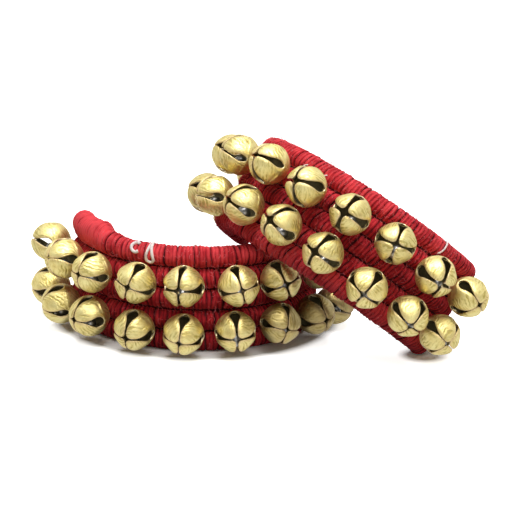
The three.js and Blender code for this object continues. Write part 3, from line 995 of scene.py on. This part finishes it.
def bell_shape(dice, gapes, brown_and_shadow):
    shape = bmesh.new()
    add_petals(shape, dice, gapes, brown_and_shadow)
    bmesh.ops.remove_doubles(shape, verts=shape.verts[:], dist=PETAL_GAP)
    root = [edge for edge in shape.edges
            if edge.is_boundary and max(vert.co.z for vert in edge.verts) < ROOT_HEIGHT]
    bmesh.ops.holes_fill(shape, edges=root, sides=0)
    bmesh.ops.recalc_face_normals(shape, faces=shape.faces[:])
    bmesh.ops.solidify(shape, geom=shape.faces[:], thickness=BELL_WALL)
    for face in shape.faces:
        faces_out = face.normal.dot(face.calc_center_median().normalized())
        face.material_index = 0 if faces_out > FACES_OUT else 1 if faces_out < -FACES_OUT else 2
        face.smooth = True
    add_eye(shape)
    return shape


trial = bell_shape(random.Random(1), gapes=(1.3, 1.9), brown_and_shadow=0.0)
reach = [max(vert.co.length for vert in trial.verts), min(vert.co.length for vert in trial.verts)]
print("one bell:", len(trial.faces), "faces, reach", [round(r, 2) for r in reach], "mm")
trial.free()

# %% [markdown]
# ## Sewing on the bells
# Each bell hangs from its eye, and the joint in the frame says where that is and which way its roll runs. The
# CAD node says which way the bell points, so droop and lean come with it. Only the turn of the slots about
# the bell's own axis is repeated here, bell by bell, from left to right along each row. The right band's
# bells are the older ones, and the tips of most stand further apart. Those at its far side, which are seen
# against the white ground, have tips that almost meet. A loop of red thread holds every eye.

# %% Where a bell sits
LOOP_RADIUS, LOOP_WIRE, LOOP_STEPS = 1.0, 0.4, 12


def node_middle(node):
    polygons = frame["nodes"][node].data.polygons
    area = sum(polygon.area for polygon in polygons)
    return sum((polygon.center * polygon.area for polygon in polygons), Vector()) / area


def bell_frame(node, turn):
    """The matrix from the bell's own millimetres to the frame, and where its middle is."""
    pivot = Vector(joint_of[node]["pos_m"])
    points = (node_middle(node) - pivot).normalized()
    along = Vector(joint_of[node]["axis"])
    along = (along - points * along.dot(points)).normalized()
    first = Matrix.Rotation(-math.radians(turn), 3, points) @ along
    second = points.cross(first)
    middle = pivot + points * (BELL_MIDDLE * MM)
    axes = Matrix((first, second, points)).transposed().to_4x4()
    return Matrix.Translation(middle) @ axes @ Matrix.Scale(MM, 4), middle


def add_sewing(side):
    shape = bmesh.new()
    nodes = [node for node in joint_of if node.startswith(side) and "bell" in node]
    for node in nodes:
        loop = add_ring(shape, LOOP_RADIUS, LOOP_WIRE, LOOP_STEPS)
        place, _ = bell_frame(node, turn=0)
        bmesh.ops.transform(shape, matrix=place @ Matrix.Translation((0, 0, -BELL_MIDDLE)), verts=loop)
    bmesh.ops.recalc_face_normals(shape, faces=shape.faces[:])
    smoothed(shape)
    make_piece(f"{side}_sewing", shape, (SHADE_RED,), f"{side}_band")
    return len(nodes)


print("sewn loops:", sum(add_sewing(side) for side in BANDS))

# %% Bells on their rolls
SLOT_TURNS = {
    "left_upper": (-8, -12, 5, 18, 0, -15, -20, 8, 14),
    "left_lower": (10, 12, 3, 5, 5, -6, 10, -16, 9),
    "right_upper": (12, -9, 5, -12, -20, 0, -14, -12, 19),
    "right_lower": (-14, -12, -5, 10, 14, 3, 3, 2, 4),
}
GAPES = {"left": (1.1, 1.7), "right": (1.4, 2.1), "closed": (1.05, 1.1)}
CLOSED = ("right_upper_bell_2", "right_lower_bell_2", "right_upper_bell_9", "right_lower_bell_9")
# Painted shadow: the bells under the right anklet are painted brown and dark. The others get a little real
# tarnish, bell by bell.
PAINTED_SHADOW_BELLS = {"left_upper_bell_7": 0.2, "left_upper_bell_8": 0.45, "left_upper_bell_9": 0.45,
             "left_lower_bell_7": 0.45, "left_lower_bell_8": 0.6, "left_lower_bell_9": 0.55}
TARNISH_STEP, TARNISH_KINDS = 0.03, 4
FIRST_SEED = 11


def add_bell(node, turn, seed):
    brown_and_shadow = PAINTED_SHADOW_BELLS.get(node, TARNISH_STEP * (seed % TARNISH_KINDS))
    gapes = GAPES["closed" if node in CLOSED else node.split("_")[0]]
    shape = bell_shape(random.Random(seed), gapes, brown_and_shadow)
    place, middle = bell_frame(node, turn)
    bmesh.ops.transform(shape, matrix=place, verts=shape.verts[:])
    piece = make_piece(f"{node}_shell", shape, (BRASS, INSIDE, RIM), node)
    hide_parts(node)
    smooth = piece.modifiers.new("smooth", "SUBSURF")
    smooth.levels = smooth.render_levels = 1
    return middle


bell_middles = {}
for row, turns in SLOT_TURNS.items():
    for column, turn in enumerate(turns, 1):
        node = f"{row}_bell_{column}"
        bell_middles[node] = add_bell(node, turn, len(bell_middles) + FIRST_SEED)
print("bells:", len(bell_middles))

# %% [markdown]
# ## Pellets
# A loose steel ball rings each bell. It lies at the lowest point inside, so it is seen through the lower
# slots. Such balls are cheap and a little lumpy, so each starts from an icosphere whose points are pushed in
# and out by noise. The CAD model has some of them with joints of their own, and the rest ride in their bells.

# %% Pellets in the bells
PELLET_RADIUS, PELLET_DROP, PELLET_DETAIL = 3.2, 3.9, 3
LUMP_PACE, LUMP_LANE, LUMP_SHARE = 600, 3.3, 0.02


def add_pellet(node, middle, seed):
    pellet_node = node.replace("bell", "pellet")
    modelled = pellet_node in frame["nodes"]
    shape = bmesh.new()
    bmesh.ops.create_icosphere(shape, subdivisions=PELLET_DETAIL, radius=PELLET_RADIUS * MM)
    for vert in shape.verts:
        vert.co *= 1 + LUMP_SHARE * noise.noise(vert.co * LUMP_PACE + Vector((seed * LUMP_LANE, 0, 0)))
    centre = node_middle(pellet_node) if modelled else middle - Vector((0, 0, PELLET_DROP * MM))
    bmesh.ops.translate(shape, vec=centre, verts=shape.verts[:])
    smoothed(shape)
    piece = make_piece(f"{pellet_node}_ball", shape, (STEEL,), pellet_node if modelled else node)
    if modelled:
        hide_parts(pellet_node)
    return modelled


modelled = [add_pellet(node, middle, index) for index, (node, middle) in enumerate(bell_middles.items())]
print("pellets:", len(modelled), "of them with a joint of their own:", sum(modelled))
